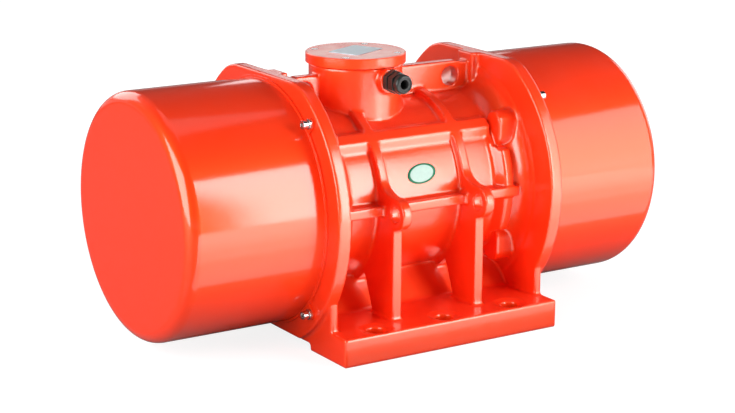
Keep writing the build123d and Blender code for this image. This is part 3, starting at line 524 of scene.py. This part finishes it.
def finish(name, colour, second, metallic, roughness, grain, stretch=1.0, relief=0.1, coat=0.0):
    """Principled material whose colour and roughness wander with the grain."""
    material, tree = new_material(name)
    shader = add(tree, "ShaderNodeBsdfPrincipled", Metallic=metallic, Coat_Weight=coat)
    mottle = place_group(tree, GRAIN, Grain_size=grain, Stretch=stretch)
    tint = mix(tree, (mottle, 0), (*colour, 1), (*second, 1))
    link(tree, (tint, MIXED), (shader, "Base Color"))
    smooth, rough = max(0.02, roughness - SMOOTHER), min(1.0, roughness + ROUGHER)
    link(tree, (ramp(tree, (mottle, 0), 0.0, 1.0, smooth, rough), 0), (shader, "Roughness"))
    bump(tree, (mottle, 0), shader, relief, GRAIN_DEPTH, "Normal")
    link(tree, (shader, 0), (output_of(tree), "Surface"))
    return material


FINISH_TABLE = {
    # name: colour, second colour, metallic, roughness, grain, then stretch, relief and coat where not plain
    "stainless": ((0.62, 0.62, 0.62), (0.48, 0.48, 0.48), 1.0, 0.22, 600.0),
    "plate_aluminium": ((0.62, 0.69, 0.74), (0.52, 0.60, 0.66), 0.55, 0.34, 300.0, 0.05),
    "electrical_steel": ((0.30, 0.31, 0.33), (0.16, 0.17, 0.18), 0.9, 0.45, 1400.0, 3.0),
    "winding_copper": ((0.60, 0.22, 0.07), (0.36, 0.10, 0.03), 0.4, 0.35, 500.0, 0.3, 0.6, 0.5),
    "cast_aluminium": ((0.62, 0.62, 0.63), (0.45, 0.45, 0.46), 0.9, 0.45, 300.0),
    "ground_steel": ((0.52, 0.52, 0.52), (0.40, 0.40, 0.41), 1.0, 0.28, 500.0, 6.0),
    "key_steel": ((0.42, 0.42, 0.42), (0.30, 0.30, 0.30), 1.0, 0.35, 400.0),
    "bearing_steel": ((0.62, 0.62, 0.63), (0.54, 0.54, 0.55), 1.0, 0.14, 700.0, 4.0, 0.05),
    "cast_iron": ((0.15, 0.15, 0.16), (0.08, 0.08, 0.085), 0.35, 0.58, 350.0, 1.0, 0.5),
    "black_steel": ((0.07, 0.07, 0.075), (0.03, 0.03, 0.032), 0.8, 0.38, 500.0),
    "brass": ((0.72, 0.50, 0.20), (0.55, 0.36, 0.12), 1.0, 0.28, 500.0),
    "gasket_rubber": ((0.03, 0.03, 0.03), (0.015, 0.015, 0.015), 0.0, 0.7, 500.0),
    "board_plastic": ((0.35, 0.15, 0.06), (0.22, 0.09, 0.04), 0.0, 0.42, 200.0),
    "gland_nylon": ((0.018, 0.026, 0.023), (0.008, 0.012, 0.011), 0.0, 0.34, 700.0, 1.0, 0.15),
}
FINISHES = {name: finish(name, *values) for name, values in FINISH_TABLE.items()}
print("finishes:", len(FINISHES))

# %% [markdown]
# ## Every solid gets its finish
#
# The record of the CAD model names a material slot for each node. That table decides the finish, so no list
# of pieces has to be kept by hand. Only the lid differs from its slot, because of its pale top, a painted
# reflection.

# %% Give the finishes out
slot_of = {part["node"]: part["material_slot"] for part in frame["record"]["subparts"]}
for name, node in nodes.items():
    enamelled = slot_of[name] == "red_enamel"
    node.data.materials.clear()
    node.data.materials.append(sheet_enamel if enamelled else FINISHES[slot_of[name]])
# The lid's enamel paints its top pale: a painted reflection laid on through the dust mask.
nodes["terminal_box_lid"].data.materials[0] = lid_enamel
print("nodes with enamel:", sum(slot == "red_enamel" for slot in slot_of.values()))

# %% [markdown]
# ## The casting
#
# Molten iron can't fill a sharp corner, and sand can't hold one, so every edge and corner of a casting is
# rounded. The solids of the housing meet at knife edges. Rounding them one by one would take a long list of
# edges; remeshing all of them together with small cubes, and then smoothing the result a little, rounds
# outer edges and fills inner corners in one go, as sand casting does.

# %% Fuse and round the housing
CASTING = ("housing_barrel", "left_end_flange", "right_end_flange", "front_foot", "back_foot",
           "foot_walls", "foot_gussets", "lifting_webs", "terminal_box_foot", "terminal_box")
CAST_CUBE = 0.0019
CAST_SMOOTHING = 2
SMOOTH_SHARE = 0.5
KEPT_FACES = 0.4


def fused(name, parts, cube, smoothing):
    """One rounded mesh made of the given CAD nodes."""
    shape = bmesh.new()
    for part in parts:
        shape.from_mesh(nodes[part].data)
    mesh = bpy.data.meshes.new(name)
    shape.to_mesh(mesh)
    shape.free()
    piece = bpy.data.objects.new(name, mesh)
    scene.collection.objects.link(piece)
    fuse = piece.modifiers.new("fuse", "REMESH")
    fuse.mode = "VOXEL"
    fuse.voxel_size = cube
    fuse.use_smooth_shade = True
    soften = piece.modifiers.new("soften", "SMOOTH")
    soften.factor = SMOOTH_SHARE
    soften.iterations = smoothing
    thin = piece.modifiers.new("thin", "DECIMATE")
    thin.decimate_type = "COLLAPSE"
    thin.ratio = KEPT_FACES
    graph = bpy.context.evaluated_depsgraph_get()
    final = bpy.data.meshes.new_from_object(piece.evaluated_get(graph))
    piece.modifiers.clear()
    piece.data = final
    final.name = name
    final.materials.clear()
    return piece


casting = fused("casting", CASTING, CAST_CUBE, CAST_SMOOTHING)
casting.data.materials.append(cast_enamel)
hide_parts(*CASTING)
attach(casting, "housing")
print("casting faces:", len(casting.data.polygons))

# %% [markdown]
# ## Eased edges
#
# No real edge is sharp: a turned, pressed or moulded piece has a small round on every edge, and it is this
# round that catches a thin bright line of light. Each visible loose piece is copied from its solid, its flat
# faces are joined up again, and a bevel rounds only the edges that are truly sharp.

# %% Ease the edges of the loose pieces
body_of = {part: body for body, parts in frame["record"]["behaviour"]["bodies"].items() for part in parts}
FLAT = math.radians(0.8)
SHARP = math.radians(32)
SAME_PLACE = 1e-6
BEVEL_STEPS = 2
FACE_WEIGHT = 100


def dress(piece, material, part):
    """Gives a piece its finish, and lets it stand for the solid of the same place."""
    piece.data.materials.clear()
    piece.data.materials.append(material)
    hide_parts(part)
    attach(piece, body_of[part])


def eased(part, width):
    """Copy of a solid with small rounds on its sharp edges."""
    shape = bmesh.new()
    shape.from_mesh(nodes[part].data)
    bmesh.ops.remove_doubles(shape, verts=shape.verts, dist=SAME_PLACE)
    bmesh.ops.dissolve_limit(shape, angle_limit=FLAT, verts=shape.verts, edges=shape.edges)
    mesh = bpy.data.meshes.new(part + "_eased")
    shape.to_mesh(mesh)
    shape.free()
    mesh.shade_smooth()
    piece = bpy.data.objects.new(part + "_eased", mesh)
    scene.collection.objects.link(piece)
    bevel = piece.modifiers.new("round", "BEVEL")
    bevel.width = width
    bevel.segments = BEVEL_STEPS
    bevel.limit_method = "ANGLE"
    bevel.angle_limit = SHARP
    lean = piece.modifiers.new("lean", "WEIGHTED_NORMAL")
    lean.mode = "FACE_AREA"
    lean.weight = FACE_WEIGHT
    lean.keep_sharp = True
    graph = bpy.context.evaluated_depsgraph_get()
    final = bpy.data.meshes.new_from_object(piece.evaluated_get(graph))
    piece.modifiers.clear()
    piece.data = final
    final.name = part + "_eased"
    dress(piece, nodes[part].data.materials[0], part)
    return piece


EASED = {"terminal_box_lid": 0.0010, "lid_screws": 0.0006, "nameplate": 0.0002, "gland_body": 0.0007,
         "gland_nut": 0.0006}
for end in ("left", "right"):
    EASED[end + "_cover"] = 0.0008
    EASED[end + "_cover_screws"] = 0.0007
    EASED[end + "_cover_washers"] = 0.0004
for part, width in EASED.items():
    eased(part, width)
print("eased pieces:", len(EASED))

# %% [markdown]
# ## The sticker
#
# A sticker bends with the barrel it is pressed on, so it can't be a flat disc. Rings of points are laid out
# on a tilted oval, each is wrapped round the barrel by its distance along the curve, and the outermost ring
# is folded down to the paint. The distance from the middle of the oval goes into the UV map, where the
# material reads it: a green ring at the edge and a pale, empty ground.

# %% Make the sticker
STICKER_RADIUS = 0.1124
STICKER_EDGE = 0.1116
STICKER_X = -0.0002
STICKER_ARC = 0.0353
STICKER_HALF = (0.0210, 0.0124)
STICKER_TILT = math.radians(7.4)


def sticker_point(across, up, radius):
    """Place on the barrel of a point of the oval, given in shares of its half axes."""
    along = across * STICKER_HALF[0] * math.cos(STICKER_TILT) - up * STICKER_HALF[1] * math.sin(STICKER_TILT)
    rise = across * STICKER_HALF[0] * math.sin(STICKER_TILT) + up * STICKER_HALF[1] * math.cos(STICKER_TILT)
    angle = (STICKER_ARC + rise) / STICKER_RADIUS
    return (STICKER_X + along, -radius * math.cos(angle), SHAFT_HEIGHT + radius * math.sin(angle))


def make_sticker(rings=8, steps=64):
    """Oval skin on the barrel, with its distance from the middle kept as U."""
    shape = bmesh.new()
    reach = shape.verts.layers.float.new("reach")
    middle = shape.verts.new(sticker_point(0, 0, STICKER_RADIUS))
    last = None
    for ring in list(range(1, rings + 1)) + [rings]:
        share = ring / rings
        radius = STICKER_EDGE if last and last[0][reach] == 1.0 else STICKER_RADIUS
        row = []
        for step in range(steps):
            turn = 2 * math.pi * step / steps
            row.append(shape.verts.new(sticker_point(share * math.cos(turn), share * math.sin(turn), radius)))
            row[-1][reach] = share
        for step in range(steps):
            after = (step + 1) % steps
            if last:
                shape.faces.new((last[step], row[step], row[after], last[after]))
            else:
                shape.faces.new((middle, row[step], row[after]))
        last = row
    uv = shape.loops.layers.uv.new("reach")
    for face in shape.faces:
        face.smooth = True
        for loop in face.loops:
            loop[uv].uv = (loop.vert[reach], 0.5)
    mesh = bpy.data.meshes.new("barrel_sticker")
    shape.to_mesh(mesh)
    shape.free()
    piece = bpy.data.objects.new("barrel_sticker", mesh)
    scene.collection.objects.link(piece)
    return piece


sticker = make_sticker()
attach(sticker, "housing")
print("sticker points:", len(sticker.data.vertices))

# %% [markdown]
# ## The sticker's print
#
# The film is satin, with a green ring printed at the edge round a pale, slightly cloudy ground. The ring's
# edge is a very steep ramp of the distance from the middle, so it stays sharp from close by.

# %% Print the sticker
RING_FROM = 0.82
RING_BLUR = 0.01
RING_GREEN = (0.002, 0.14, 0.065, 1)
GROUND = (0.42, 0.58, 0.51, 1)
GROUND_CLOUD = (0.33, 0.48, 0.43, 1)
FILM_DEPTH = 0.0001


def sticker_material():
    """Satin film: green ring round a pale ground that is a little cloudy."""
    material, tree = new_material("sticker_film")
    shader = add(tree, "ShaderNodeBsdfPrincipled", Roughness=0.55, Specular_IOR_Level=0.3)
    place = add(tree, "ShaderNodeUVMap", uv_map="reach")
    split = tree.nodes.new("ShaderNodeSeparateXYZ")
    link(tree, (place, 0), (split, 0))
    edge = ramp(tree, (split, "X"), RING_FROM - RING_BLUR, RING_FROM + RING_BLUR)
    cloud = place_group(tree, GRAIN, Grain_size=260.0)
    ground = mix(tree, (cloud, 0), GROUND, GROUND_CLOUD)
    colour = mix(tree, (edge, 0), (ground, MIXED), RING_GREEN)
    link(tree, (colour, MIXED), (shader, "Base Color"))
    bump(tree, (cloud, 0), shader, 0.1, FILM_DEPTH, "Normal")
    link(tree, (shader, 0), (output_of(tree), "Surface"))
    return material


sticker.data.materials.append(sticker_material())
print("sticker finish:", sticker.data.materials[0].name)
